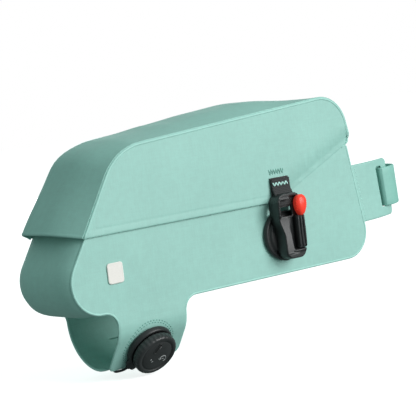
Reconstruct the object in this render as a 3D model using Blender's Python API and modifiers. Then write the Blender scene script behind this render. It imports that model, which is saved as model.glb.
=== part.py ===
"""A hard-walled bag that sits on a bicycle's top tube, behind the stem.

Metres. +X points to the handlebar, +Z up, and the near side of the bag is -Y. The origin is on
the flat bottom, midway along the bag, where it sits on the tube.
"""
import math

import bmesh
import bpy
from mathutils import Matrix, Vector

# Whole bag
LENGTH = 0.240
WIDTH = 0.058
HALF_LENGTH = LENGTH / 2
HALF_WIDTH = WIDTH / 2
GAP = 0.0003
ARC_STEP = math.radians(13)
LONGEST_STEP = 0.026

# Lower shell
SHELL_WALL = 0.002
REAR_ANGLE = math.radians(57.6)
REAR_RADIUS = 0.020
FRONT_LEAN = math.radians(9)
FRONT_RADIUS = 0.018
REAR_CROWN = 0.0026
CROWN_POWER = 7
RIM_RISE = 0.010
RIM_SET_IN = 0.0025
RIM_START = 0.0014
RIM_JOG = 0.0054

# Lid
LID_WALL = 0.0015
LID_EDGE = 0.047
LID_OVERHANG = 0.0015
LID_REAR_ANGLE = math.radians(58.4)
LID_TOP = 0.1107
LID_TOP_SLOPE = math.radians(4.33)
LID_FRONT_LEAN = math.radians(11)
LID_FRONT_STEP = 0.0026
LID_STEP_FROM_FRONT = 0.0736
LID_STEP_X = HALF_LENGTH - LID_STEP_FROM_FRONT
LID_STEP_RADIUS = 0.010
LID_REAR_RADIUS = 0.036
LID_FRONT_RADIUS = 0.018
LID_CROWN = 0.0112
HINGE_HEIGHT = 0.0775
HINGE_NOTCH = 0.0024
HINGE_WALL = 0.0008
HINGE_RISE = 0.006

# Saddle flaps that wrap round the top tube
FLAP_FROM_REAR = 0.0555
FLAP_X = FLAP_FROM_REAR - HALF_LENGTH
FLAP_LENGTH = 0.0515
FLAP_FILLET = 0.009
FLAP_CORNER = 0.006
NEAR_BEND_START = 0.0083
NEAR_BEND = 0.021
NEAR_WRAP = math.radians(36)
NEAR_FLAT = 0.0193
NEAR_FLAP = (NEAR_BEND_START, NEAR_BEND, NEAR_WRAP, NEAR_FLAT)
FAR_BEND_START = 0.0085
FAR_BEND = 0.030
FAR_WRAP = math.radians(97)
FAR_FLAP = (FAR_BEND_START, FAR_BEND, FAR_WRAP, 0)

# Tightening dial and lace
DIAL_BEHIND = 0.001
DIAL_X = FLAP_X - DIAL_BEHIND
DIAL_PAST_BEND = 0.0065
DIAL_BASE_RADIUS = 0.0156
DIAL_BASE_RISE = 0.0037
DIAL_RADIUS = 0.0145
DIAL_HEIGHT = 0.0062
DIAL_BEVEL = 0.0012
DIAL_RIBS = 24
DIAL_RIB_DEPTH = 0.0005
PIN_RADIUS = 0.003
PIN_RISE = 0.0040
EXIT_RADIUS = 0.0016
EXIT_RISE = EXIT_RADIUS + GAP
EXIT_INNER = 0.013
EXIT_OUTER = 0.0185
EXIT_ANGLE = math.radians(42)
LACE_RADIUS = 0.0008
TUNNEL_RADIUS = 0.0020
TUNNEL_BORE = 0.0012
TUNNEL_LENGTH = 0.024
TUNNEL_SEAT = 0.0024

# Strap round the steerer
STEM_FLAP_LOW = 0.022
STEM_FLAP_HIGH = 0.0615
STEM_FLAP_WALL = 0.002
STEM_RISE = math.tan(math.radians(1.8))
STEM_STRAP_LOW = 0.0287
STEM_STRAP_HIGH = 0.0554
STEM_STRAP_WALL = 0.0016
STEM_REACH = 0.0333
STEM_BULGE = 0.0120
STEM_LEAN_LOSS = 0.7
STEM_SLACK = 0.0006
SLOT_MARGIN = 0.0012
SLOT_COLUMN = 3
TURN_FIRST = math.radians(25)
TURN_STEP = math.radians(32.5)
TURN_POINTS = 5

# Snap buckle. Its head and the webbing's bar are placed from the top of the round base.
BUCKLE_FROM_FRONT = 0.074
BUCKLE_X = HALF_LENGTH - BUCKLE_FROM_FRONT
BASE_RADIUS = 0.017
BASE_HEIGHT = 0.0255
BASE_TOP = BASE_HEIGHT + BASE_RADIUS
BASE_THICKNESS = 0.0037
BASE_BEVEL = 0.0010
HEAD_RISE = 0.0099
BAR_RISE = 0.0030
WINDOW_DROP = 0.0050
BUCKLE_WIDTH = 0.0186
BUCKLE_LOW = 0.010
BUCKLE_HIGH = BASE_TOP + HEAD_RISE
BUCKLE_FRONT = 0.012
BUCKLE_RADIUS = 0.0062
ARCH_HEIGHT = 0.0038
ARCH_FRONT = 0.0108
ARCH_BACK = 0.0085
CHEEK = 0.0011
WINDOW_LOW = BASE_TOP - WINDOW_DROP
BAR_RADIUS = 0.0015
BAR_HEIGHT = BASE_TOP + BAR_RISE
BAR_OUT = 0.0059
CUT_PAST = 0.002
LEVER_FOOT = 0.0061
LEVER_WIDTH = 0.0080
LEVER_WALL = 0.0035
LEVER_LOW = BUCKLE_LOW + LEVER_FOOT
LEVER_HIGH = 0.0367
LEVER_OUT = 0.0095
TIP_LENGTH = 0.0124
TIP_WIDTH = 0.0088
TIP_THICKNESS = 0.0060
TIP_SHIFT = 0.0026
TIP_BEVEL = 0.0020

# Webbing and patch
WEBBING_WIDTH = 0.0158
WEBBING_WALL = 0.0014
WEBBING_TOP = 0.0629
PATCH_FROM_REAR = 0.0318
PATCH_X = PATCH_FROM_REAR - HALF_LENGTH
PATCH_HEIGHT = 0.0235
PATCH_LENGTH = 0.0117
PATCH_RISE = 0.0128
PATCH_CORNER = 0.002
PATCH_WALL = 0.0005

LID_HALF_WIDTH = HALF_WIDTH + GAP + LID_WALL
UP = Vector((0, 0, 1))

for old in list(bpy.data.objects):
    bpy.data.objects.remove(old, do_unlink=True)
bag = bpy.data.collections.new("top_tube_bag")
cutters = bpy.data.collections.new("cutters")
bpy.context.scene.collection.children.link(bag)
bpy.context.scene.collection.children.link(cutters)


def material(name, colour, roughness, metallic=0.0):
    """A Principled material of one colour."""
    made = bpy.data.materials.new(name)
    made.use_nodes = True
    shader = made.node_tree.nodes["Principled BSDF"]
    shader.inputs["Base Color"].default_value = (*colour, 1.0)
    shader.inputs["Roughness"].default_value = roughness
    shader.inputs["Metallic"].default_value = metallic
    return made


MINT = material("mint_fabric", (0.31, 0.60, 0.53), 0.75)
MINT_SHADE = material("mint_lining", (0.20, 0.45, 0.40), 0.85)
WEBBING = material("black_webbing", (0.022, 0.024, 0.025), 0.85)
BLACK = material("black_plastic", (0.028, 0.030, 0.031), 0.45)
DARK = material("black_nylon", (0.018, 0.019, 0.020), 0.6)
LACE = material("black_lace", (0.012, 0.012, 0.013), 0.8)
RED = material("red_plastic", (0.80, 0.055, 0.030), 0.35)
PALE = material("pale_patch", (0.86, 0.80, 0.74), 0.6)


def link(name, mesh, slot, collection=bag):
    """Put a mesh in the scene as one object with one material."""
    made = bpy.data.objects.new(name, mesh)
    mesh.materials.append(slot)
    collection.objects.link(made)
    return made


def from_bmesh(name, bm, slot, collection=bag):
    """Turn a finished bmesh into an object."""
    mesh = bpy.data.meshes.new(name)
    bm.normal_update()
    bm.to_mesh(mesh)
    bm.free()
    return link(name, mesh, slot, collection)


def solidify(obj, thickness, offset):
    """Give an open surface a wall. Offset -1 puts it behind the surface and 0 on both sides."""
    wall = obj.modifiers.new("wall", "SOLIDIFY")
    wall.thickness = thickness
    wall.offset = offset
    wall.use_even_offset = True
    return obj


def boolean(obj, cutter, operation):
    """Cut or join with another object, which is then only a guide."""
    cut = obj.modifiers.new(operation.lower(), "BOOLEAN")
    cut.operation = operation
    cut.object = cutter
    cutter.hide_render = True
    cutter.display_type = "WIRE"
    return obj


def bevel(obj, width, segments=2):
    """Round the sharp edges."""
    edge = obj.modifiers.new("edge", "BEVEL")
    edge.width = width
    edge.segments = segments
    edge.limit_method = "ANGLE"
    edge.angle_limit = math.radians(40)
    return obj


def rounded(corners, closed=False):
    """Points along a line through corners (across, up, fillet radius), each fillet an arc."""
    points = []
    for place, (across, up, radius) in enumerate(corners):
        here = Vector((across, up))
        end = not closed and place in (0, len(corners) - 1)
        if radius == 0 or end:
            points.append(here)
            continue
        before = (Vector(corners[place - 1][:2]) - here).normalized()
        after = (Vector(corners[(place + 1) % len(corners)][:2]) - here).normalized()
        half = before.angle(after) / 2
        centre = here + (before + after).normalized() * radius / math.sin(half)
        start = here + before * radius / math.tan(half) - centre
        finish = here + after * radius / math.tan(half) - centre
        sweep = math.atan2(start.x * finish.y - start.y * finish.x, start.dot(finish))
        steps = max(2, math.ceil(abs(sweep) / ARC_STEP))
        for step in range(steps + 1):
            points.append(centre + Matrix.Rotation(sweep * step / steps, 2) @ start)
    return points


def spaced(points):
    """The same line, with long straight stretches divided."""
    result = [points[0]]
    for point in points[1:]:
        last = result[-1].copy()
        pieces = max(1, math.ceil((point - last).length / LONGEST_STEP))
        result += [last.lerp(point, piece / pieces) for piece in range(1, pieces + 1)]
    return result


def lengths_along(points):
    """Each point's share of the line's length."""
    run = [0.0]
    for before, point in zip(points, points[1:]):
        run.append(run[-1] + (point - before).length)
    return [length / run[-1] for length in run]


def from_table(table, share):
    """Read a value from a table of (share, value) rows, straight between rows."""
    for (low, first), (high, second) in zip(table, table[1:]):
        if share <= high:
            return first + (second - first) * (share - low) / (high - low)
    return table[-1][1]


def surface(name, rows, slot, skip=()):
    """An open surface through rows of points. It faces row direction x point direction."""
    bm = bmesh.new()
    grid = [[bm.verts.new(point) for point in row] for row in rows]
    for i in range(len(rows) - 1):
        for j in range(len(rows[0]) - 1):
            if (i, j) not in skip:
                bm.faces.new((grid[i][j], grid[i + 1][j], grid[i + 1][j + 1], grid[i][j + 1]))
    loose = [vert for vert in bm.verts if not vert.link_faces]
    bmesh.ops.delete(bm, geom=loose, context="VERTS")
    return from_bmesh(name, bm, slot)


def side_plate(name, outline, out, side, wall, slot, shape=None, levels=()):
    """A flat outline in the XZ plane, with its wall inwards from the distance out on that side.

    Shape moves each point sideways and up, and levels are the heights where it bends.
    """
    bm = bmesh.new()
    face = bm.faces.new([bm.verts.new((point.x, side * out, point.y)) for point in outline])
    face.normal_update()
    if face.normal.y * side < 0:
        face.normal_flip()
    bmesh.ops.triangulate(bm, faces=bm.faces[:])
    for level in levels:
        geometry = bm.verts[:] + bm.edges[:] + bm.faces[:]
        bmesh.ops.bisect_plane(bm, geom=geometry, dist=1e-6, plane_co=(0, 0, level), plane_no=UP)
    if shape:
        for vert in bm.verts:
            inwards, vert.co.z = shape(vert.co.z)
            vert.co.y -= side * inwards
    return solidify(from_bmesh(name, bm, slot), wall, -1)


def box(name, low, high, slot, collection=bag):
    """A box between two corners."""
    bm = bmesh.new()
    bmesh.ops.create_cube(bm, size=1)
    low, high = Vector(low), Vector(high)
    bmesh.ops.scale(bm, vec=high - low, verts=bm.verts)
    bmesh.ops.translate(bm, vec=(low + high) / 2, verts=bm.verts)
    return from_bmesh(name, bm, slot, collection)


def cylinder(name, radius, length, start, axis, slot, collection=bag, sides=24):
    """A round bar of that length from a point along an axis."""
    bm = bmesh.new()
    bmesh.ops.create_cone(bm, cap_ends=True, segments=sides, radius1=radius, radius2=radius,
                          depth=length)
    bmesh.ops.translate(bm, vec=(0, 0, length / 2), verts=bm.verts)
    turn = UP.rotation_difference(Vector(axis)).to_matrix().to_4x4()
    bmesh.ops.transform(bm, matrix=Matrix.Translation(start) @ turn, verts=bm.verts)
    return from_bmesh(name, bm, slot, collection)


# Outlines in the XZ plane

def rear_line(height):
    """The lower shell's rear wall, as x at a height."""
    foot = -HALF_LENGTH + REAR_RADIUS - REAR_RADIUS / math.tan(REAR_ANGLE / 2)
    return foot + height / math.tan(REAR_ANGLE)


def front_line(height):
    """The lower shell's front wall, as x at a height."""
    foot = HALF_LENGTH - FRONT_RADIUS + FRONT_RADIUS / math.tan((math.pi / 2 - FRONT_LEAN) / 2)
    return foot - height * math.tan(FRONT_LEAN)


def lid_front_line(height):
    """The lid's front wall, as x at a height."""
    foot = front_line(HINGE_HEIGHT) + LID_FRONT_STEP
    return foot - (height - HINGE_HEIGHT) * math.tan(LID_FRONT_LEAN)


LID_REAR_X = rear_line(LID_EDGE) - LID_OVERHANG / math.sin(REAR_ANGLE)
LID_STEP_SLOPE = (HINGE_HEIGHT - LID_EDGE) / (lid_front_line(HINGE_HEIGHT) - LID_STEP_X)


def lid_corners():
    """The lid's rear edge, rear corner, front corner and hinge edge."""
    front_x = lid_front_line(LID_TOP)
    rear_rise, top_rise = math.tan(LID_REAR_ANGLE), math.tan(LID_TOP_SLOPE)
    left = LID_TOP - LID_EDGE - front_x * top_rise + LID_REAR_X * rear_rise
    corner_x = left / (rear_rise - top_rise)
    corner_z = LID_EDGE + (corner_x - LID_REAR_X) * rear_rise
    return [(LID_REAR_X, LID_EDGE, 0), (corner_x, corner_z, LID_REAR_RADIUS),
            (front_x, LID_TOP, LID_FRONT_RADIUS), (lid_front_line(HINGE_HEIGHT), HINGE_HEIGHT, 0)]


def rim_corners_rear():
    """The lower shell's rear rim, from its top down to where it meets the rear wall."""
    top, low = LID_EDGE + RIM_RISE, LID_EDGE - RIM_START
    jog = low + RIM_JOG
    return [(rear_line(top) + RIM_SET_IN, top, 0), (rear_line(jog) + RIM_SET_IN, jog, 0),
            (rear_line(low), low, 0)]


def rim_corners_front():
    """The lower shell's front rim, from the hinge up to its top."""
    low = HINGE_HEIGHT - HINGE_NOTCH
    jog = low + RIM_JOG
    top = low + RIM_RISE
    return [(front_line(low), low, 0), (front_line(jog) - RIM_SET_IN, jog, 0),
            (front_line(top) - RIM_SET_IN, top, 0)]


def shell_corners():
    """Bottom corners of the lower shell, rear first."""
    rear = (rear_line(0), 0, REAR_RADIUS)
    front = (front_line(0), 0, FRONT_RADIUS)
    return rear, front


def flap_corners(drop):
    """The saddle flap, rear side first, as it is before it is bent round the tube."""
    rear, front = FLAP_X - FLAP_LENGTH / 2, FLAP_X + FLAP_LENGTH / 2
    return [(rear, 0, FLAP_FILLET), (rear, -drop, FLAP_CORNER),
            (front, -drop, FLAP_CORNER), (front, 0, FLAP_FILLET)]


# Lower shell

def wrap(flap):
    """How a flap bends round the tube: its way inwards and its height, from its flat height.

    A flap is where its bend starts, the bend's radius and angle, and the flat part past it.
    """
    start, radius, angle, _ = flap

    def bent(height):
        turned = min(max((-height - start) / radius, 0.0), angle)
        past = -height - start - radius * turned
        inwards = radius * (1 - math.cos(turned)) + past * math.sin(turned)
        return inwards, -start - radius * math.sin(turned) - past * math.cos(turned)
    return bent


def side_panel(name, side, flap):
    """One side wall of the lower shell, with its saddle flap."""
    rear, front = shell_corners()
    start, radius, angle, flat = flap
    step_back = RIM_RISE * math.tan(math.atan(LID_STEP_SLOPE) / 2)
    rim_step = (LID_STEP_X - step_back, LID_EDGE + RIM_RISE, 0)
    hanging = flap_corners(start + radius * angle + flat)
    corners = rim_corners_rear() + [rear] + hanging + [front] + rim_corners_front() + [rim_step]
    steps = math.ceil(angle / ARC_STEP)
    levels = [-start - radius * angle * step / steps for step in range(steps + 1)]
    side_plate(name, rounded(corners, closed=True), HALF_WIDTH, side, SHELL_WALL, MINT,
               wrap(flap), levels)


def crowned_band(name, path, table, crown, half_width, wall, slot):
    """A band across the bag that follows a path, swelling outwards in the middle.

    Table: share of the path, and the crown there as a share of the largest.
    """
    across = (-1, -0.95, -0.87, -0.72, -0.4, 0, 0.4, 0.72, 0.87, 0.95, 1)
    rows = []
    for place, share in enumerate(lengths_along(path)):
        before, after = path[max(place - 1, 0)], path[min(place + 1, len(path) - 1)]
        along = (after - before).normalized()
        outwards = Vector((-along.y, along.x))
        swell = crown * from_table(table, share)
        row = []
        for across_share in across:
            point = path[place] + outwards * swell * (1 - abs(across_share) ** CROWN_POWER)
            row.append(Vector((point.x, across_share * half_width, point.y)))
        rows.append(row)
    return solidify(surface(name, rows, slot), wall, -1)


def lower_shell():
    """Two side walls and the band between them."""
    side_panel("side_panel_near", -1, NEAR_FLAP)
    side_panel("side_panel_far", 1, FAR_FLAP)
    rear, front = shell_corners()
    corners = rim_corners_front()[::-1] + [front, rear] + rim_corners_rear()[::-1]
    crown = [(0, 0), (0.24, 0), (0.78, 0), (0.88, 1), (1, 0.8)]
    crowned_band("body_gusset", spaced(rounded(corners)), crown, REAR_CROWN,
                 HALF_WIDTH - SHELL_WALL - GAP, SHELL_WALL, MINT)


# Lid

def lid():
    """The lid's side walls, its crowned band and the hinge cloth inside its front edge."""
    corners = lid_corners()
    outline = rounded(corners + [(LID_STEP_X, LID_EDGE, LID_STEP_RADIUS)], closed=True)
    for name, side in (("lid_panel_near", -1), ("lid_panel_far", 1)):
        side_plate(name, outline, LID_HALF_WIDTH, side, LID_WALL, MINT)
    crown = [(0, 1), (0.23, 0.52), (0.31, 0.40), (0.41, 0.50), (0.56, 0.63), (0.71, 0.67),
             (0.84, 0.10), (0.92, 0), (1, 0)]
    crowned_band("lid_gusset", spaced(rounded(corners)), crown, LID_CROWN,
                 LID_HALF_WIDTH - LID_WALL - GAP, LID_WALL, MINT)
    inside = LID_WALL / math.cos(LID_FRONT_LEAN) + GAP + HINGE_WALL / 2
    heights = (HINGE_HEIGHT - HINGE_NOTCH, HINGE_HEIGHT, HINGE_HEIGHT + HINGE_RISE)
    line = [Vector((lid_front_line(height) - inside, 0, height)) for height in heights]
    line[0].x = front_line(heights[0]) + GAP + HINGE_WALL
    half_width = HALF_WIDTH - SHELL_WALL - GAP
    sides = (Vector((0, -half_width, 0)), Vector((0, half_width, 0)))
    rows = [[point + side for side in sides] for point in line]
    solidify(surface("lid_hinge", rows[::-1], MINT_SHADE), HINGE_WALL, 0)


# Dial and lace

def flap_point(flap, side, past=0.0):
    """A point on a flap's outer face past its bend, and the direction out of it."""
    start, radius, angle, _ = flap
    inwards, up = wrap(flap)(-start - radius * angle - past)
    point = Vector((0, side * (HALF_WIDTH - inwards), up))
    return point, Vector((0, side * math.cos(angle), -math.sin(angle)))


DIAL_SEAT, DIAL_AXIS = flap_point(NEAR_FLAP, -1, DIAL_PAST_BEND)
DIAL_SEAT.x = DIAL_X
DIAL_UP = Vector((0, -math.sin(NEAR_WRAP), math.cos(NEAR_WRAP)))


def exit_direction(side):
    """Where a lace exit points: forwards or backwards, and down round the tube."""
    return Vector((side * math.cos(EXIT_ANGLE), 0, 0)) - DIAL_UP * math.sin(EXIT_ANGLE)


def dial_base():
    """Round base on the flap, with a centre pin and two lace exits."""
    base = cylinder("dial_base", DIAL_BASE_RADIUS, DIAL_BASE_RISE - GAP, DIAL_SEAT + DIAL_AXIS * GAP,
                    DIAL_AXIS, BLACK, sides=28)
    pin = cylinder("dial_pin", PIN_RADIUS, PIN_RISE + DIAL_BASE_RISE / 2,
                   DIAL_SEAT + DIAL_AXIS * DIAL_BASE_RISE / 2, DIAL_AXIS, BLACK, cutters, sides=16)
    boolean(base, pin, "UNION")
    for side in (-1, 1):
        way = exit_direction(side)
        foot = DIAL_SEAT + DIAL_AXIS * EXIT_RISE + way * EXIT_INNER
        nub = cylinder("lace_exit", EXIT_RADIUS, EXIT_OUTER - EXIT_INNER, foot, way, BLACK,
                       cutters, sides=12)
        boolean(base, nub, "UNION")


def dial_knob():
    """Ribbed knob with a blind bore for the pin, made about its own axis."""
    bm = bmesh.new()
    rings = []
    for height, inset in ((0, 0), (DIAL_HEIGHT - DIAL_BEVEL, 0), (DIAL_HEIGHT, DIAL_BEVEL)):
        ring = []
        for step in range(2 * DIAL_RIBS):
            radius = DIAL_RADIUS - inset - DIAL_RIB_DEPTH * (step % 2)
            turn = math.pi * step / DIAL_RIBS
            ring.append(bm.verts.new((radius * math.cos(turn), radius * math.sin(turn), height)))
        rings.append(ring)
    for low, high in zip(rings, rings[1:]):
        for step in range(2 * DIAL_RIBS):
            after = (step + 1) % (2 * DIAL_RIBS)
            bm.faces.new((low[step], low[after], high[after], high[step]))
    bm.faces.new(rings[0][::-1])
    bm.faces.new(rings[-1])
    knob = from_bmesh("dial_knob", bm, DARK)
    knob.location = DIAL_SEAT + DIAL_AXIS * (DIAL_BASE_RISE + GAP)
    knob.rotation_euler = UP.rotation_difference(DIAL_AXIS).to_euler()
    bore = cylinder("knob_bore", PIN_RADIUS + GAP, PIN_RISE + GAP,
                    DIAL_SEAT + DIAL_AXIS * DIAL_BASE_RISE, DIAL_AXIS, BLACK, cutters, sides=16)
    boolean(knob, bore, "DIFFERENCE")


def lace_and_tunnel():
    """The lace goes from one exit under the tube, through the tunnel on the far flap, and back."""
    end, out = flap_point(FAR_FLAP, 1)
    past_end = Vector((0, -math.sin(FAR_WRAP), -math.cos(FAR_WRAP)))
    centre = end + past_end * TUNNEL_SEAT - out * SHELL_WALL / 2
    centre.x = DIAL_X
    tunnel = cylinder("lace_tunnel", TUNNEL_RADIUS, TUNNEL_LENGTH,
                      centre - Vector((TUNNEL_LENGTH / 2, 0, 0)), (1, 0, 0), MINT, sides=12)
    bore = cylinder("tunnel_bore", TUNNEL_BORE, TUNNEL_LENGTH * 2,
                    centre - Vector((TUNNEL_LENGTH, 0, 0)), (1, 0, 0), MINT, cutters, sides=12)
    boolean(tunnel, bore, "DIFFERENCE")
    half = []
    start = DIAL_SEAT + DIAL_AXIS * EXIT_RISE + exit_direction(-1) * (EXIT_OUTER + GAP)
    half.append(start)
    half.append(start + exit_direction(-1) * 0.002 + Vector((0, 0.001, 0)))
    half.append(centre + Vector((-TUNNEL_LENGTH / 2 - 0.0078, -0.0048, -0.0016)))
    half.append(centre + Vector((-TUNNEL_LENGTH / 2 - 0.0068, -0.0016, -0.0006)))
    half.append(centre + Vector((-TUNNEL_LENGTH / 2 - 0.0030, -0.0001, 0)))
    half.append(centre + Vector((-TUNNEL_LENGTH / 2 + 0.002, 0, 0)))
    mirrored = [Vector((2 * DIAL_X - point.x, point.y, point.z)) for point in half[::-1]]
    route = smooth_route(half + [centre.copy()] + mirrored, 4)
    curve = bpy.data.curves.new("lace", "CURVE")
    curve.dimensions = "3D"
    curve.bevel_depth = LACE_RADIUS
    curve.bevel_resolution = 1
    curve.use_fill_caps = True
    spline = curve.splines.new("POLY")
    spline.points.add(len(route) - 1)
    for point, place in zip(spline.points, route):
        point.co = (*place, 1)
    lace = bpy.data.objects.new("lace", curve)
    curve.materials.append(LACE)
    bag.objects.link(lace)


def smooth_route(points, pieces):
    """A smooth curve through points, with each stretch in equal pieces."""
    ends = [2 * points[0] - points[1]] + points + [2 * points[-1] - points[-2]]
    result = []
    for a, b, c, d in zip(ends, ends[1:], ends[2:], ends[3:]):
        for piece in range(pieces):
            t = piece / pieces
            way = (c - a) * t + (2 * a - 5 * b + 4 * c - d) * t * t + (3 * b - a - 3 * c + d) * t ** 3
            result.append(b + way / 2)
    return result + [points[-1]]


# Strap round the steerer. Forwards is measured from the lower shell's front wall.

def stem_point(forward, sideways, height):
    """A point of the flap or strap: both lean less and rise more further forwards."""
    lean = math.tan(FRONT_LEAN) * STEM_LEAN_LOSS * min(forward / STEM_REACH, 1)
    x = front_line(height) + GAP + forward + (height - STEM_FLAP_LOW) * lean
    return Vector((x, sideways, height + forward * STEM_RISE))


def stem_plan():
    """The near flap seen from above, as (forwards, sideways).

    Table: shares of the flap's reach and of half the width. The slot lies in SLOT_COLUMN.
    """
    table = ((0.0, -0.94), (0.26, -0.937), (0.50, -0.91), (0.67, -0.87), (0.81, -0.82), (1.0, -0.74))
    return [Vector((STEM_REACH * forward, HALF_WIDTH * sideways)) for forward, sideways in table]


def stem_flap():
    """Short near flap with an upright slot, curving inwards round the steerer."""
    heights = (STEM_FLAP_LOW, STEM_STRAP_LOW - SLOT_MARGIN, STEM_STRAP_HIGH + SLOT_MARGIN,
               STEM_FLAP_HIGH)
    rows = [[stem_point(place.x, place.y, height) for height in heights] for place in stem_plan()]
    flap = surface("stem_flap_near", rows, MINT, skip=((SLOT_COLUMN, 1),))
    solidify(flap, STEM_FLAP_WALL, 0)


def stem_strap():
    """Far strap: forwards, round the front, in through the slot and back behind the flap's end.

    Tables: share of the flap's reach, share of the bulge beyond it, share of half the width.
    """
    outer = ((0.0, 0.0, 0.94), (0.35, 0.0, 0.92), (0.81, 0.0, 0.76), (1.0, 0.42, 0.41),
             (1.0, 0.81, 0.03), (1.0, 0.96, -0.21), (1.0, 0.985, -0.41), (1.0, 0.81, -0.64),
             (1.0, 0.42, -0.80), (0.98, 0.0, -0.895))
    inner = ((1.02, 0.0, -0.635), (1.0, 0.43, -0.48), (1.0, 0.67, -0.31), (1.0, 0.76, -0.14))

    def places(table):
        return [Vector((STEM_REACH * reach + STEM_BULGE * bulge, HALF_WIDTH * sideways, 0))
                for reach, bulge, sideways in table]

    edge, end = [Vector((*place, 0)) for place in stem_plan()[SLOT_COLUMN + 1:]]
    along = (end - edge).normalized()
    outwards = Vector((along.y, -along.x, 0))
    radius = STEM_FLAP_WALL / 2 + STEM_STRAP_WALL / 2 + STEM_SLACK
    angles = [TURN_FIRST + TURN_STEP * step for step in range(TURN_POINTS)]
    turn = [edge + (outwards * math.cos(angle) - along * math.sin(angle)) * radius
            for angle in angles]
    line = smooth_route(places(outer) + turn + places(inner), 2)
    heights = (STEM_STRAP_LOW, STEM_STRAP_HIGH)
    rows = [[stem_point(place.x, place.y, height) for height in heights] for place in line]
    solidify(surface("stem_strap_far", rows, MINT), STEM_STRAP_WALL, 0)


# Buckle and webbing. Out is measured from the lower shell's near face.

def near(out):
    """y at a distance out from the near face."""
    return -HALF_WIDTH - out


BUCKLE_LEFT = BUCKLE_X - BUCKLE_WIDTH / 2
BUCKLE_RIGHT = BUCKLE_X + BUCKLE_WIDTH / 2
LEVER_RIGHT = BUCKLE_RIGHT - GAP
LEVER_LEFT = LEVER_RIGHT - LEVER_WIDTH
LEVER_AXIS_OUT = LEVER_OUT + LEVER_WALL / 2
LEVER_AXIS_HEIGHT = LEVER_LOW + LEVER_WALL / 2


def buckle_base():
    """Round plate on the lower shell."""
    disc = cylinder("buckle_base", BASE_RADIUS, BASE_THICKNESS, (BUCKLE_X, near(GAP), BASE_HEIGHT),
                    (0, -1, 0), BLACK, sides=40)
    bevel(disc, BASE_BEVEL, 1)


def buckle_body():
    """Frame with an arch, a window with the webbing's bar, a tongue and a seat for the lever."""
    back = GAP + BASE_THICKNESS + GAP
    corners = [(BUCKLE_LEFT, BUCKLE_LOW, BUCKLE_RADIUS), (BUCKLE_RIGHT, BUCKLE_LOW, BUCKLE_RADIUS),
               (BUCKLE_RIGHT, BUCKLE_HIGH, BUCKLE_RADIUS), (BUCKLE_LEFT, BUCKLE_HIGH, BUCKLE_RADIUS)]
    body = side_plate("buckle_body", rounded(corners, closed=True), HALF_WIDTH + BUCKLE_FRONT, -1,
                      BUCKLE_FRONT - back, BLACK)
    inner_left, inner_right = BUCKLE_LEFT + CHEEK, BUCKLE_RIGHT - CHEEK
    arch_low = BUCKLE_HIGH - ARCH_HEIGHT
    right_past, high_past = BUCKLE_RIGHT + CUT_PAST, BUCKLE_HIGH + CUT_PAST
    out_past = BUCKLE_FRONT + CUT_PAST
    cuts = (
        ("arch_step", BUCKLE_LEFT - CUT_PAST, right_past, ARCH_FRONT, out_past, WINDOW_LOW, high_past),
        ("window", inner_left, inner_right, -CUT_PAST, out_past, WINDOW_LOW, arch_low),
        ("webbing_way", inner_left, inner_right, -CUT_PAST, ARCH_BACK, arch_low - CUT_PAST, high_past),
        ("lever_seat", LEVER_LEFT - GAP, right_past, LEVER_OUT - GAP, out_past, LEVER_LOW - GAP,
         high_past),
    )
    for name, left, right, inner, outer, low, high in cuts:
        cutter = box(name, (left, near(outer), low), (right, near(inner), high), BLACK, cutters)
        boolean(body, cutter, "DIFFERENCE")
    bar_start = (BUCKLE_LEFT + CHEEK / 2, near(BAR_OUT), BAR_HEIGHT)
    bar = cylinder("bar", BAR_RADIUS, BUCKLE_WIDTH - CHEEK, bar_start, (1, 0, 0), BLACK, cutters,
                   sides=10)
    boolean(body, bar, "UNION")


def buckle_lever():
    """Lever with a round foot on its axis, and the red tip fixed on its end."""
    bm = bmesh.new()
    rise = LEVER_HIGH - LEVER_AXIS_HEIGHT
    profile = [(-LEVER_WALL / 2, rise), (LEVER_WALL / 2, rise)]
    steps = 10
    for step in range(steps + 1):
        turn = math.pi * step / steps
        profile.append((LEVER_WALL / 2 * math.cos(turn), -LEVER_WALL / 2 * math.sin(turn)))
    face = bm.faces.new([bm.verts.new((0, y, z)) for y, z in profile])
    grown = bmesh.ops.extrude_face_region(bm, geom=[face])["geom"]
    moved = [part for part in grown if isinstance(part, bmesh.types.BMVert)]
    bmesh.ops.translate(bm, vec=(LEVER_WIDTH, 0, 0), verts=moved)
    bmesh.ops.recalc_face_normals(bm, faces=bm.faces[:])
    lever = from_bmesh("buckle_lever", bm, BLACK)
    lever.location = (LEVER_LEFT, near(LEVER_AXIS_OUT), LEVER_AXIS_HEIGHT)
    left = LEVER_RIGHT - TIP_WIDTH + TIP_SHIFT
    low = LEVER_HIGH + GAP
    tip = box("release_tip", (left, near(LEVER_OUT + TIP_THICKNESS), low),
              (left + TIP_WIDTH, near(LEVER_OUT), low + TIP_LENGTH), RED)
    bevel(tip, TIP_BEVEL)


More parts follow.
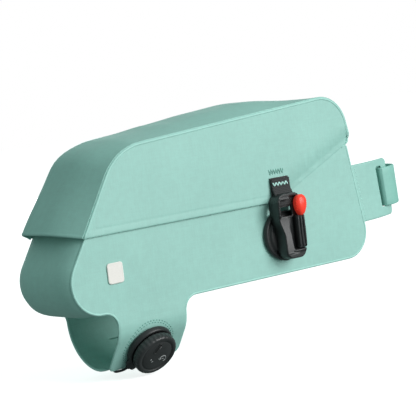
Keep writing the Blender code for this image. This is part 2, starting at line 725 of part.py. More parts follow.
def lid_webbing():
    """Webbing from the lid, round the buckle's bar and back up over itself.

    Rows: distance out and height of the middle of the webbing, from the bar.
    """
    first = LID_HALF_WIDTH - HALF_WIDTH + GAP + WEBBING_WALL / 2
    second = first + WEBBING_WALL + GAP
    loop = BAR_RADIUS + GAP + WEBBING_WALL / 2
    path = [Vector((first, WEBBING_TOP)), Vector((first, BUCKLE_HIGH + ARCH_HEIGHT)),
            Vector((BAR_OUT - loop, BAR_HEIGHT + loop))]
    steps = 8
    for step in range(steps + 1):
        turn = math.pi * step / steps
        path.append(Vector((BAR_OUT - loop * math.cos(turn), BAR_HEIGHT - loop * math.sin(turn))))
    clear = ARCH_BACK - 2 * GAP - WEBBING_WALL / 2
    path.append(Vector((clear, BUCKLE_HIGH - ARCH_HEIGHT)))
    path.append(Vector((second + WEBBING_WALL / 2, BUCKLE_HIGH + GAP)))
    path.append(Vector((second, BUCKLE_HIGH + ARCH_HEIGHT)))
    path.append(Vector((second, WEBBING_TOP - WEBBING_WALL)))
    edges = (BUCKLE_X - WEBBING_WIDTH / 2, BUCKLE_X + WEBBING_WIDTH / 2)
    rows = [[Vector((edge, near(point.x), point.y)) for edge in edges] for point in path]
    solidify(surface("lid_webbing", rows, WEBBING), WEBBING_WALL, 0)


def side_patch():
    """Thin rounded patch near the rear of the near side."""
    left, right = PATCH_X - PATCH_LENGTH / 2, PATCH_X + PATCH_LENGTH / 2
    low, high = PATCH_HEIGHT - PATCH_RISE / 2, PATCH_HEIGHT + PATCH_RISE / 2
    corners = [(left, low, PATCH_CORNER), (right, low, PATCH_CORNER),
               (right, high, PATCH_CORNER), (left, high, PATCH_CORNER)]
    side_plate("side_patch", rounded(corners, closed=True), HALF_WIDTH + GAP + PATCH_WALL, -1,
               PATCH_WALL, PALE)


lower_shell()
lid()
side_patch()
dial_base()
dial_knob()
lace_and_tunnel()
stem_flap()
stem_strap()
buckle_base()
buckle_body()
buckle_lever()
lid_webbing()
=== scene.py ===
"""Looks of a hard-walled bag for a bicycle's top tube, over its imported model.

Metres, in the model's own frame: +X forwards, +Z up, and the near side of the bag is -Y. The
sections follow the bag as it is sewn and put together.
"""
from math import atan, atan2, ceil, copysign, cos, exp, pi, radians, sin, tan, tau

import bmesh
import bpy
from mathutils import Matrix, Vector, noise


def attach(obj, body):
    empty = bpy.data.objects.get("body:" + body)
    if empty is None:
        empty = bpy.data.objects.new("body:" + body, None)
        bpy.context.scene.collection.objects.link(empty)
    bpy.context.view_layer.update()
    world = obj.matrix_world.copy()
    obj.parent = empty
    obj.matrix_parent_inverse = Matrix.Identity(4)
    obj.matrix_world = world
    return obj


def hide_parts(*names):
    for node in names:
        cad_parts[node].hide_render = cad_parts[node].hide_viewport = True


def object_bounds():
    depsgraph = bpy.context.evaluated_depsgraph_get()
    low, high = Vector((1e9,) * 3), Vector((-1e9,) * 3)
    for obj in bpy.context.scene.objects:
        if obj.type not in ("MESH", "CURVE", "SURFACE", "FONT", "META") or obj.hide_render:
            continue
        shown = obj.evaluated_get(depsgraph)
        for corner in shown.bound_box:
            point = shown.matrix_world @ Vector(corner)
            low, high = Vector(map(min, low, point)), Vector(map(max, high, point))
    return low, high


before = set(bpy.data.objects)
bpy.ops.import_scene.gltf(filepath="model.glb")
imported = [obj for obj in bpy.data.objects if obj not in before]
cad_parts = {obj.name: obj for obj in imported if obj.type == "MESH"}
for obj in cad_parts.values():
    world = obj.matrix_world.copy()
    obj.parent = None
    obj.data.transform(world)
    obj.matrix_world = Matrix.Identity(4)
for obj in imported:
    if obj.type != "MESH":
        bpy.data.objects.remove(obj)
cad_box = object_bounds()
scene = bpy.context.scene

# Camera. It looks at the near side from behind, a little above the bag, and leans as the
# photograph does, so that the bag's bottom rises to the right.
azimuth, elevation, lean = radians(-37.79), radians(4.75), radians(-7.14)
aim, distance = Vector((0.01015, 0, 0.04836)), 1.0384
back = Vector((sin(azimuth) * cos(elevation), -cos(azimuth) * cos(elevation), sin(elevation)))
camera = bpy.data.objects.new("camera", bpy.data.cameras.new("camera"))
camera.data.lens, camera.data.sensor_width = 138.55, 36
look = (-back).to_track_quat("-Z", "Y").to_matrix() @ Matrix.Rotation(lean, 3, "Z")
camera.matrix_world = Matrix.Translation(aim + back * distance) @ look.to_4x4()
scene.collection.objects.link(camera)
scene.camera = camera

# Studio. A white room with a pale floor under the hanging flaps, one large soft lamp in front of
# the near side, and a weak fill that is brighter from above, so that the rear end is in shade.
class Thread:
    """A value in a tree of nodes. Python's own sums on it add Math nodes."""

    def __init__(self, tree, socket=None):
        self.tree, self.socket = tree, socket

    def node(self, kind, inputs=(), output=0, **settings):
        """Add any node: first its settings, then the values or threads of its sockets."""
        made = self.tree.nodes.new(kind)
        for name, value in settings.items():
            setattr(made, name, value)
        for name, value in dict(inputs).items():
            if isinstance(value, Thread):
                self.tree.links.new(value.socket, made.inputs[name])
            else:
                made.inputs[name].default_value = value
        return Thread(self.tree, made.outputs[output] if made.outputs else None)

    def sum(self, operation, *values):
        return self.node("ShaderNodeMath", enumerate(values), operation=operation)

    def __add__(self, other):
        return self.sum("ADD", self, other)

    def __sub__(self, other):
        return self.sum("SUBTRACT", self, other)

    def __mul__(self, other):
        return self.sum("MULTIPLY", self, other)

    def wave(self, length):
        """Runs from -1 to 1 and back once in each length."""
        turn = self * (tau / length)
        return turn.sum("SINE", turn)

    def between(self, low, high):
        """Goes smoothly from 0 at the low value to 1 at the high one."""
        return self.node("ShaderNodeMapRange", {0: self, 1: low, 2: high}, interpolation_type="SMOOTHSTEP")

    def mix(self, low, high):
        """A colour from low to high by this value."""
        return self.node("ShaderNodeMix", {0: self, 6: low, 7: high}, 2, data_type="RGBA")

    def spots(self, scale, detail=3.0):
        """Soft noise over the piece, in object space."""
        place = self.node("ShaderNodeTexCoord", output=3)
        return self.node("ShaderNodeTexNoise", {"Vector": place, "Scale": scale, "Detail": detail})

    def cloth(self, axis):
        """Metres along the piece's own cloth, across it or along it."""
        place = self.node("ShaderNodeUVMap", uv_map="cloth")
        return self.node("ShaderNodeSeparateXYZ", {0: place}, axis)

    def bump(self, height, strength):
        """A normal from a height in metres."""
        return self.node("ShaderNodeBump", {"Height": height, "Strength": strength, "Distance": 1.0})


def finish(name, colour, roughness, **constants):
    """A Principled material with its constant sockets set. Gives it, its shader and a thread."""
    made = bpy.data.materials.new(name)
    made.use_nodes = True
    shader = made.node_tree.nodes["Principled BSDF"]
    shader.inputs["Base Color"].default_value = (*colour, 1.0)
    shader.inputs["Roughness"].default_value = roughness
    for socket, value in constants.items():
        shader.inputs[socket.replace("_", " ")].default_value = value
    return made, shader, Thread(made.node_tree, shader.outputs[0])


def lamp(name, direction, away, size, power):
    """A square soft lamp that shines on the bag from a direction."""
    data = bpy.data.lights.new(name, "AREA")
    data.energy, data.size = power, size
    made = bpy.data.objects.new(name, data)
    direction = Vector(direction).normalized()
    made.location = aim + direction * away
    made.rotation_euler = direction.to_track_quat("Z", "Y").to_euler()
    scene.collection.objects.link(made)


scene.view_settings.view_transform = "Standard"
world = bpy.data.worlds.new("room")
scene.world = world
world.use_nodes = True
world.node_tree.nodes.clear()
room = Thread(world.node_tree)
way_up = room.node("ShaderNodeSeparateXYZ", {0: room.node("ShaderNodeTexCoord")}, 2)
fill_level = room.node("ShaderNodeMapRange", {0: way_up, 1: -1, 3: 0.14, 4: 0.44})
fill = room.node("ShaderNodeBackground", {"Color": (0.78, 1.0, 0.965, 1), "Strength": fill_level})
walls = room.node("ShaderNodeBackground", {"Color": (1, 1, 1, 1)})
both = room.node("ShaderNodeMixShader", {0: room.node("ShaderNodeLightPath"), 1: fill, 2: walls})
room.node("ShaderNodeOutputWorld", {"Surface": both})
lamp("key", (0.38, -0.87, 0.31), 2.3, 1.5, 45)
lamp("far", (0.45, 0.88, 0.03), 1.8, 1.0, 5)

floor_mesh = bpy.data.meshes.new("floor")
floor_height = cad_box[0][2] - 0.0015
floor_mesh.from_pydata([(x, y, floor_height) for x, y in ((-4, -4), (4, -4), (4, 4), (-4, 4))], [],
                       [(0, 1, 2, 3)])
floor = bpy.data.objects.new("floor", floor_mesh)
floor_paint = finish("floor_paint", (0.86, 0.86, 0.86), 0.9, Emission_Color=(1, 1, 1, 1),
                     Emission_Strength=0.74)[0]
floor_mesh.materials.append(floor_paint)
floor.visible_diffuse = False
floor.visible_glossy = False
scene.collection.objects.link(floor)


# Lace. A thin braided black cord that the dial winds in. It leaves the dial's base at the rear
# and the front, and runs through the tunnel on the far flap, which pulls both flaps together.

def feed(shader, **threads):
    """Lead threads to the shader's sockets."""
    for name, thread in threads.items():
        thread.tree.links.new(thread.socket, shader.inputs[name.replace("_", " ")])


def piece(name, bm, paint, outwards=False):
    """Turn a finished bmesh into an object. A closed one may have its faces turned outwards."""
    if outwards:
        bmesh.ops.recalc_face_normals(bm, faces=bm.faces[:])
    bm.normal_update()
    mesh = bpy.data.meshes.new(name)
    bm.to_mesh(mesh)
    bm.free()
    mesh.materials.append(paint)
    mesh.polygons.foreach_set("use_smooth", [True] * len(mesh.polygons))
    made = bpy.data.objects.new(name, mesh)
    scene.collection.objects.link(made)
    return made


def sewn_on(made, body, slot, *nodes):
    """Let a piece move with a body and stand for CAD nodes, which are hidden. The slot is not used."""
    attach(made, body)
    if nodes:
        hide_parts(*nodes)
    return made


def smooth_route(points, pieces):
    """A smooth curve through points, with each stretch in equal pieces."""
    ends = [2 * points[0] - points[1]] + points + [2 * points[-1] - points[-2]]
    result = []
    for a, b, c, d in zip(ends, ends[1:], ends[2:], ends[3:]):
        for step in range(pieces):
            t = step / pieces
            way = (c - a) * t + (2 * a - 5 * b + 4 * c - d) * t * t + (3 * b - a - 3 * c + d) * t ** 3
            result.append(b + way / 2)
    return result + [points[-1]]


def heading(path, place):
    """The direction along a path at one of its points."""
    return (path[min(place + 1, len(path) - 1)] - path[max(place - 1, 0)]).normalized()


def lengths(path):
    """Metres along a path at each of its points."""
    run = [0.0]
    for before, after in zip(path, path[1:]):
        run.append(run[-1] + (after - before).length)
    return run


def skin(bm, rings, cloth=None, closed=True, ends=True, over=False):
    """Faces between rings of points, and over both ends. Cloth gives metres on the piece's cloth
    from the step round a ring and the ring's row. Over turns the faces over."""
    uv = bm.loops.layers.uv.new("cloth") if cloth else None
    count = len(rings[0])
    for row in range(len(rings) - 1):
        for step in range(count if closed else count - 1):
            spots = [(step, row), (step + 1, row), (step + 1, row + 1), (step, row + 1)]
            if over:
                spots = spots[:1] + spots[:0:-1]
            face = bm.faces.new([rings[level][across % count] for across, level in spots])
            if cloth:
                for loop, spot in zip(face.loops, spots):
                    loop[uv].uv = cloth(*spot)
    if closed and ends:
        for ring, backwards in ((rings[0], not over), (rings[-1], over)):
            bm.faces.new(ring[::-1] if backwards else ring)


def tube(name, path, radii, paint, sides=10):
    """A round bar along a path, thicker or thinner from point to point, with closed ends."""
    bm = bmesh.new()
    radii = radii if isinstance(radii, list) else [radii] * len(path)
    rings, side, run = [], None, lengths(path)
    for place, (point, radius) in enumerate(zip(path, radii)):
        along = heading(path, place)
        side = along.orthogonal().normalized() if side is None else side
        side = (side - along * side.dot(along)).normalized()
        other = along.cross(side)
        rings.append([bm.verts.new(point + (side * cos(turn) + other * sin(turn)) * radius)
                      for turn in (tau * step / sides for step in range(sides))])
    around = tau * radii[0] / sides
    skin(bm, rings, lambda step, row: (step * around, run[row]))
    return piece(name, bm, paint)


lace_black, shader, thread = finish("braided_lace", (0.010, 0.010, 0.011), 0.62)
braid = (thread.cloth(1) + thread.cloth(0) * 1.3).wave(0.0011) * (
    thread.cloth(1) - thread.cloth(0) * 1.3).wave(0.0011)
feed(shader, Base_Color=braid.between(-0.7, 0.7).mix((0.006, 0.006, 0.007, 1), (0.030, 0.031, 0.033, 1)),
     Normal=thread.bump(braid * 0.00008, 0.9))

tunnel = Vector((-0.0655, -0.0069163, -0.0369914))
tunnel_length = 0.024
lace_radius = 0.0008
rear_half = [Vector((-0.0794711, -0.0153118, -0.0371961)), Vector((-0.0809574, -0.0135252, -0.0382788))]
rear_half += [tunnel - Vector((tunnel_length / 2 + outside, nearer, lower)) for outside, nearer, lower in
              ((0.0078, 0.0048, 0.0016), (0.0068, 0.0016, 0.0006), (0.0030, 0.0001, 0), (-0.002, 0, 0))]
front_half = [Vector((2 * tunnel.x - point.x, point.y, point.z)) for point in rear_half[::-1]]
lace_route = smooth_route(rear_half + [tunnel] + front_half, 7)
sewn_on(tube("lace_cord", lace_route, lace_radius, lace_black), "bag", "black_lace", "lace")


# Lower shell. Stiff walls of mint coated cloth: two sides, each cut in one with the saddle flap
# that hangs beside the tube, and a band between them round the front, the bottom and the rear.
# The seams are turned over a cord, which stands out as a thin welt.

def rounded(corners, closed=False, step=0.0025):
    """Close points along straight lines and fillets, from corners (x, z, fillet radius)."""
    points = []
    for place, (across, up, radius) in enumerate(corners):
        here = Vector((across, up))
        if radius == 0 or (not closed and place in (0, len(corners) - 1)):
            points.append(here)
            continue
        before = (Vector(corners[place - 1][:2]) - here).normalized()
        after = (Vector(corners[(place + 1) % len(corners)][:2]) - here).normalized()
        half = before.angle(after) / 2
        centre = here + (before + after).normalized() * radius / sin(half)
        start = here + before * radius / tan(half) - centre
        finish_at = here + after * radius / tan(half) - centre
        sweep = atan2(start.x * finish_at.y - start.y * finish_at.x, start.dot(finish_at))
        steps = max(3, ceil(abs(sweep) / radians(7)))
        points += [centre + Matrix.Rotation(sweep * turn / steps, 2) @ start for turn in range(steps + 1)]
    if closed:
        points.append(points[0])
    result = [points[0]]
    for point in points[1:]:
        last = result[-1].copy()
        if (point - last).length < 1e-6:
            continue
        pieces = max(1, ceil((point - last).length / step))
        result += [last.lerp(point, part / pieces) for part in range(1, pieces + 1)]
    return result[:-1] if closed else result


def rounded_box(left, right, low, high, radii, step=0.001, hole=False):
    """The edge of a rectangle, with a radius for each corner from the lower left one to the right.
    A hole's edge runs the other way."""
    corners = list(zip((left, right, right, left), (low, low, high, high), radii))
    return rounded(corners[:1] + corners[:0:-1] if hole else corners, closed=True, step=step)


def inset(line, depth):
    """A closed line moved in from its edge, to its left, with the folded corners drawn together."""
    if depth == 0:
        return [point.copy() for point in line]
    count, moved, good = len(line), [], []
    for place, point in enumerate(line):
        along = (line[(place + 1) % count] - line[place - 1]).normalized()
        moved.append(point + Vector((-along.y, along.x)) * depth)
    for place, point in enumerate(moved):
        near = min((point - other).length for other in line)
        good.append(near > depth * 0.97)
    for place in range(count):
        if not good[place]:
            ahead = next((step for step in range(1, count) if good[(place + step) % count]), 0)
            behind = next((step for step in range(1, count) if good[place - step]), 0)
            moved[place] = moved[(place + ahead) % count] if ahead < behind else moved[place - behind]
    return moved


def beside(line, depth):
    """An open line moved to its left."""
    ways = [heading(line, place) for place in range(len(line))]
    return [point + Vector((-way.y, way.x)) * depth for point, way in zip(line, ways)]


def cut_panel(name, outline, place, paint, edge, holes=(), hole_edge=None, cell=0.006, flip=False):
    """A cut cloth panel. Rings in from its edges follow a profile, and a grid fills the middle.

    Edge: (distance in from the edge, height there). Place puts (x, z, height) in space.
    """
    bm = bmesh.new()
    uv = bm.loops.layers.uv.new("cloth")
    inner = []
    for line in (outline, *holes):
        rings = []
        for depth, rise in (hole_edge if hole_edge and line is not outline else edge):
            known, ring = {}, []
            for point in inset(line, depth):
                key = (round(point.x, 6), round(point.y, 6))
                if key not in known:
                    known[key] = bm.verts.new((point.x, point.y, rise))
                ring.append(known[key])
            rings.append(ring)
        for low, high in zip(rings, rings[1:]):
            for step in range(len(low)):
                corners = (low[step - 1], low[step], high[step], high[step - 1])
                unique = [vert for spot, vert in enumerate(corners) if vert not in corners[:spot]]
                if len(unique) > 2:
                    bm.faces.new(unique)
        last = [vert for spot, vert in enumerate(rings[-1]) if vert is not rings[-1][spot - 1]]
        for spot, vert in enumerate(last):
            pair = (last[spot - 1], vert)
            inner.append(bm.edges.get(pair) or bm.edges.new(pair))
    bmesh.ops.triangle_fill(bm, edges=inner, use_beauty=True, use_dissolve=False, normal=(0, 0, 1))
    for axis in (0, 1):
        low = min(vert.co[axis] for vert in bm.verts)
        high = max(vert.co[axis] for vert in bm.verts)
        level = low + cell
        while level < high:
            spot, way = [0, 0, 0], [0, 0, 0]
            spot[axis], way[axis] = level, 1
            bmesh.ops.bisect_plane(bm, geom=bm.verts[:] + bm.edges[:] + bm.faces[:], dist=1e-6,
                                   plane_co=spot, plane_no=way)
            level += cell
    for face in bm.faces:
        for loop in face.loops:
            loop[uv].uv = loop.vert.co.xy
    bmesh.ops.recalc_face_normals(bm, faces=bm.faces[:])
    if sum(face.normal.z for face in bm.faces) < 0:
        bmesh.ops.reverse_faces(bm, faces=bm.faces[:])
    for vert in bm.verts:
        vert.co = place(*vert.co)
    if flip:
        bmesh.ops.reverse_faces(bm, faces=bm.faces[:])
    return piece(name, bm, paint)


def walled(made, thickness, offset=-1):
    """Give a sheet its thickness."""
    wall = made.modifiers.new("wall", "SOLIDIFY")
    wall.thickness, wall.offset, wall.use_even_offset = thickness, offset, False
    return made


def straight(value, low, high):
    """0 at the low value, 1 at the high one, straight between."""
    return min(max((value - low) / (high - low), 0.0), 1.0)


def smooth_step(value, low, high):
    """0 at the low value, 1 at the high one, eased between."""
    t = straight(value, low, high)
    return t * t * (3 - 2 * t)


def read_table(table, share, between=smooth_step):
    """Read a value from rows of (share, value)."""
    for (low, first), (high, second) in zip(table, table[1:]):
        if share <= high:
            return first + (second - first) * between(share, low, high)
    return table[-1][1]


def band(name, path, half_width, height, paint, wall):
    """A cloth band across the bag along a path. Height gives how far it stands out of the path
    and moves ahead along it, from the share of the path, the metres from its start, those left
    and the share of its half width."""
    run = lengths(path)
    shares = [sin(pi / 2 * step / 14) for step in range(-14, 15)]
    bm = bmesh.new()
    grid = []
    for place, point in enumerate(path):
        along = heading(path, place)
        out = Vector((-along.y, along.x))
        row = []
        for share in shares:
            rise, ahead = height(run[place] / run[-1], run[place], run[-1] - run[place], share)
            spot = point + out * rise + along * ahead
            row.append(bm.verts.new((spot.x, share * half_width, spot.y)))
        grid.append(row)
    skin(bm, grid, lambda step, row: (shares[step] * half_width, run[row]), closed=False, over=True)
    return walled(piece(name, bm, paint), wall)


def shade(colour, share):
    """A colour made lighter or darker."""
    return tuple(min(part * share, 1.0) for part in colour[:3]) + (1.0,)


def mint_cloth(name, colour):
    """Coated cloth with a fine plain weave, faint unevenness in its colour and a soft sheen."""
    made, shader, thread = finish(name, colour, 0.55, Specular_IOR_Level=0.8, Sheen_Weight=0.06,
                                  Sheen_Roughness=0.5, Sheen_Tint=(0.8, 1.0, 0.96, 1.0))
    across, along = thread.cloth(0), thread.cloth(1)
    threads = across.wave(0.0009) * along.wave(0.0009)
    streaks = []
    for share_across, share_along in ((90, 900), (900, 90)):
        place = thread.node("ShaderNodeCombineXYZ", {0: across * share_across, 1: along * share_along})
        streaks.append(thread.node("ShaderNodeTexNoise", {"Vector": place, "Scale": 1.0, "Detail": 3.0}))
    slub = streaks[0] * 0.5 + streaks[1] * 0.5
    dirt, mottle = thread.spots(22.0), thread.spots(260.0)
    tone = dirt.between(0.3, 0.7) * 0.35 + mottle.between(0.3, 0.7) * 0.35 + slub.between(0.35, 0.65) * 0.3
    feed(shader, Base_Color=tone.mix(shade(colour, 0.93), shade(colour, 1.07)),
         Roughness=slub * 0.2 + mottle * 0.1 + 0.40,
         Normal=thread.bump(threads * 0.00002 + slub * 0.00012 + dirt * 0.0007, 0.6))
    return made


mint = mint_cloth("mint_coated_cloth", (0.350, 0.642, 0.573))
# The welts' cloth is lighter than the walls' cloth: a painted highlight along the seams, over cords that
# really stand out.
mint_welt_painted_highlight = mint_cloth("mint_welt_cloth", (0.410, 0.730, 0.655))

gap = 0.0003
half_width = 0.029
lid_edge = 0.047
hinge_height = 0.0775
hinge_low = 0.0751
shell_rim = 0.0495
rim_rear, rim_top, rim_in = 0.057, 0.083, 0.0028
shell_wall = 0.0017
rear_slope, front_lean = tan(radians(57.6)), tan(radians(9))


def rear_x(height):
    """x of the lower shell's rear wall."""
    return -0.13638 + height / rear_slope


def front_x(height):
    """x of the lower shell's front wall."""
    return 0.123075 - height * front_lean


flap_rear, flap_front = -0.09025, -0.03875
near_flap = (0.0083, 0.021, radians(36), 0.0193, 0.0026)
far_flap = (0.0085, 0.030, radians(97), 0.0, 0.0)


def side_corners(flap):
    """The side wall's edge from the rear rim down, round the flap and up to the hinge."""
    start, radius, angle, flat, rear_drop = flap
    drop = start + radius * angle + flat
    return [(rear_x(shell_rim), shell_rim, 0), (rear_x(0), 0, 0.020),
            (flap_rear, 0, 0.009), (flap_rear, -drop - rear_drop, 0.003), (flap_front, -drop, 0.006),
            (flap_front, 0, 0.009), (front_x(0), 0, 0.018), (front_x(hinge_low), hinge_low, 0)]


soft_depth = 0.00035
wrinkle_depth, wrinkle_height, wrinkle_reach = 0.00016, -0.005, 0.009


def side_place(side, flap, lift=0.0):
    """How a side wall lies in space. Its flap bends in round the tube, wrinkled above the bend."""
    start, radius, angle = flap[:3]

    def place(x, z, rise):
        turned = min(max((-z - start) / radius, 0.0), angle)
        past = -z - start - radius * turned
        inwards = radius * (1 - cos(turned)) + past * sin(turned)
        down = -start - radius * sin(turned) - past * cos(turned)
        soft = min(noise.noise(Vector((x * 16, z * 16, side * 3.0))) * soft_depth, 0.0001)
        folds = noise.noise(Vector((x * 30 + z * 40, z * 130, side * 5.0))) * wrinkle_depth
        folds *= exp(-((z - wrinkle_height) / wrinkle_reach) ** 2)
        rise += lift + (soft + folds if rise > -0.0001 else 0)
        return Vector((x, side * (half_width - inwards + rise * cos(turned)), down - rise * sin(turned)))
    return place


rolled_edge = [(0, -0.0010), (0.0003, -0.00045), (0.0008, -0.00012), (0.0016, 0)]
under_lid = [(front_x(hinge_low) - rim_in, rim_top, 0), (0.044, rim_rear, 0),
             (rear_x(rim_rear) + rim_in, rim_rear, 0)]
for side, flap, name in ((-1, near_flap, "near"), (1, far_flap, "far")):
    outline = rounded(side_corners(flap) + under_lid, closed=True)
    wall = cut_panel("shell_side_" + name, outline, side_place(side, flap), mint, rolled_edge,
                     cell=0.003, flip=side > 0)
    sewn_on(walled(wall, shell_wall), "bag", "mint_fabric", "side_panel_" + name)
    seam = rounded(side_corners(flap))
    on_flap = [straight(-point.y, 0.003, 0.010) for point in seam]
    welt_path = [side_place(side, flap, -0.0006 - 0.00025 * share)(point.x, point.y, 0.0)
                 for point, share in zip(beside(seam, 0.0006), on_flap)]
    radii = [0.0009 - 0.0001 * share for share in on_flap]
    sewn_on(tube("shell_welt_" + name, welt_path, radii, mint_welt_painted_highlight), "bag", "mint_fabric")

body_path = rounded([(front_x(rim_top) - rim_in, rim_top, 0), (front_x(0.0805) - rim_in, 0.0805, 0),
                     (front_x(hinge_low), hinge_low, 0), (front_x(0), 0, 0.018), (rear_x(0), 0, 0.020),
                     (rear_x(shell_rim), shell_rim, 0),
                     (rear_x(0.053) + 0.0025, 0.053, 0), (rear_x(0.058) + 0.0025, 0.058, 0)])
body_crown = [(0, 0), (0.775, 0), (0.845, 1.15), (0.91, 1), (1, 0.8)]
rear_swell, edge_lift = 0.0036, 0.0002


def body_height(share, run, left, across):
    """The shell's band swells a little at the rear."""
    swell = rear_swell * read_table(body_crown, share) * (1 - abs(across) ** 5)
    return swell + edge_lift * abs(across) ** 9, 0


body_band = band("shell_band", body_path, half_width - 0.0011, body_height, mint, 0.0018)
sewn_on(body_band, "bag", "mint_fabric", "body_gusset")


# Lid. It fits over the lower shell like a shoe box's lid: two side walls and one padded band
# from the rear edge over the top to the front, where a strip of cloth inside is its hinge. Its
# lower edge is turned up in a narrow hem, as far as the fold above the buckle.

lid_half_width = 0.0308
lid_wall = 0.0014
lid_lean = tan(radians(11))
fold_sink, fold_ridge, hem_groove = 0.0021, 0.00045, 0.00013
lid_rear_x = rear_x(lid_edge) - 0.0015 / sin(atan(rear_slope))


def lid_front_x(height):
    """x of the lid's front wall."""
    return 0.1134 - (height - hinge_height) * lid_lean


lid_seam = [(lid_rear_x, lid_edge, 0), (-0.077744, 0.096715, 0.036),
            (lid_front_x(0.1107), 0.1107, 0.0215), (lid_front_x(hinge_height), hinge_height, 0)]
fold_start = Vector((0.0464, lid_edge))
fold_end = Vector((lid_front_x(hinge_height), hinge_height))


def lid_place(side):
    """How a lid wall lies in space. Below the fold it sinks onto the lower shell."""
    def place(x, z, rise):
        along = (fold_end - fold_start).normalized()
        above = (Vector((x, z)) - fold_start).dot(Vector((-along.y, along.x)))
        flush = (1 - straight(above, 0.0005, 0.0115)) * straight(x, 0.044, 0.056)
        flush = smooth_step(flush, 0, 1)
        swell = noise.noise(Vector((x * 14, z * 14, side * 7.0))) * soft_depth
        swell = max(swell, 0.0) if above > 0.006 else 0.0
        ridge = fold_ridge * exp(-((above - 0.0012) / 0.0011) ** 2) * flush
        crease = hem_groove * exp(-((z - lid_edge - 0.0045) / 0.0004) ** 2) * (x < 0.05)
        out = lid_half_width + rise * (1 - flush) + swell - fold_sink * flush + ridge - crease
        return Vector((x, side * out, z))
    return place


hemmed_edge = [(0, -0.0006), (0.0002, -0.0002), (0.0006, 0), (0.0012, 0), (0.0038, 0), (0.0045, 0),
               (0.0052, 0)]
lid_outline = rounded(lid_seam[:3] + [(*lid_seam[3][:2], 0.006), (*fold_start, 0.010)], closed=True)
lid_outline = lid_outline[::-1]
for side, name in ((-1, "near"), (1, "far")):
    wall = cut_panel("lid_side_" + name, lid_outline, lid_place(side), mint, hemmed_edge, flip=side > 0)
    sewn_on(walled(wall, lid_wall), "bag", "mint_fabric", "lid_panel_" + name)
    welt_corners = lid_seam[:3] + [(*fold_end, 0.006), (*fold_end.lerp(fold_start, 0.11), 0)]
    seam = [lid_place(side)(point.x, point.y, -0.0005) for point in beside(rounded(welt_corners), -0.0004)]
    radii = [0.0009 - 0.0006 * smooth_step(place, len(seam) - 11, len(seam)) for place in range(len(seam))]
    sewn_on(tube("lid_welt_" + name, seam, radii, mint_welt_painted_highlight), "bag", "mint_fabric")

lid_crown = [(0, 1), (0.17, 0.62), (0.25, 0.36), (0.33, 0.39), (0.43, 0.50), (0.56, 0.61), (0.66, 0.64),
             (0.86, 0.04), (0.92, 0), (1, 0)]
lid_swell, rim_drop, rim_run, corner_drop = 0.0112, 0.0022, 0.04, 0.0034


def lid_height(share, run, left, across):
    """The lid's band is padded, fullest at its rear edge, where it ends in a hem. It slopes gently
    to the near seam and is boxier on the far half. Its front end curls in over the hinge."""
    hem = read_table([(0, -0.0006), (0.0004, 0.0), (0.0010, 0.00012), (0.0022, 0.0), (1, 0)], run)
    curl = read_table([(0, -0.0016), (0.0012, -0.0007), (0.0045, 0), (1, 0)], left)
    boxy, level = (1.8, 1.8) if across < 0 else (7, 5)
    drop = rim_drop * (1 - abs(across) ** level) * max(1 - run / rim_run, 0) ** 2
    corner = corner_drop * straight(abs(across), 0.82, 1) * max(1 - left / 0.008, 0)
    rise = lid_swell * read_table(lid_crown, share) * (1 - abs(across) ** boxy) + hem + curl
    return rise + 0.0010 * abs(across) ** 3, -drop - corner


lid_path = rounded(lid_seam)
lid_path = [lid_path[0].lerp(lid_path[1], part / 8) for part in range(8)] + lid_path[1:-2] + [
    lid_path[-3].lerp(lid_path[-1], part / 8) for part in range(1, 9)]
lid_band = band("lid_band", lid_path, lid_half_width - 0.0004, lid_height, mint, lid_wall)
sewn_on(lid_band, "bag", "mint_fabric", "lid_gusset")


def ribbon(name, route, ways, width, thickness, paint):
    """A flat strap along a route, with rounded edges and closed ends. Ways point across it."""
    bm = bmesh.new()
    flat, edge = width / 2 - thickness / 2, thickness / 2
    profile = []
    for face in (1, -1):
        profile += [(face * (2 * flat * step / 6 - flat), face * edge) for step in range(7)]
        profile += [(face * (flat + edge * sin(t)), face * edge * cos(t)) for t in (0.7, 1.57, 2.44)]
    rings, run = [], lengths(route)
    for place, (point, wide) in enumerate(zip(route, ways)):
        along = heading(route, place)
        wide = (wide - along * wide.dot(along)).normalized()
        out = along.cross(wide)
        rings.append([bm.verts.new(point + wide * across + out * up) for across, up in profile])
    skin(bm, rings, lambda step, row: (profile[step % len(profile)][0], run[row]), over=True)
    return piece(name, bm, paint, outwards=True)


mint_lining = mint_cloth("mint_hinge_cloth", (0.215, 0.455, 0.400))
hinge_top = hinge_height + 0.006
hinge_route = [Vector((front_x(hinge_low) + 0.0008, 0, hinge_low))]
hinge_route += [Vector((lid_front_x(height) - 0.00225, 0, height)) for height in (hinge_height, hinge_top)]
hinge_route = smooth_route(hinge_route, 5)
hinge = ribbon("hinge_cloth", hinge_route, [Vector((0, 1, 0))] * len(hinge_route), 0.0534, 0.0008,
               mint_lining)
sewn_on(hinge, "bag", "mint_lining", "lid_hinge")


# Side patch. A small pale label with rounded corners, sewn on low down near the rear of the
# near side. It is left bare of any mark, in a fine twill.

patch_pale, shader, thread = finish("pale_twill_patch", (0.930, 0.850, 0.805), 0.62)
twill = (thread.cloth(0) + thread.cloth(1)).wave(0.0008)
border = thread.spots(1500.0, 2.0)
feed(shader, Base_Color=twill.between(-0.8, 0.8).mix((0.960, 0.880, 0.830, 1), (1.0, 0.950, 0.910, 1)),
     Roughness=border * 0.2 + 0.5, Normal=thread.bump(twill * 0.00003 + border * 0.00003, 0.8))
patch = cut_panel("patch_label", rounded_box(-0.09405, -0.08235, 0.0171, 0.0299, [0.002] * 4, 0.0015),
                  lambda x, z, rise: Vector((x, -half_width - gap - 0.0005 - rise, z)), patch_pale,
                  [(0, -0.0004), (0.0002, -0.00012), (0.0006, 0.00008), (0.0010, 0.0), (0.0014, 0.0)])
sewn_on(walled(patch, 0.0004), "bag", "pale_patch", "side_patch")


# Dial. A round black base sewn to the near flap, with a guide at each end for the lace, and a
# knob with a ribbed rim that winds the lace in.

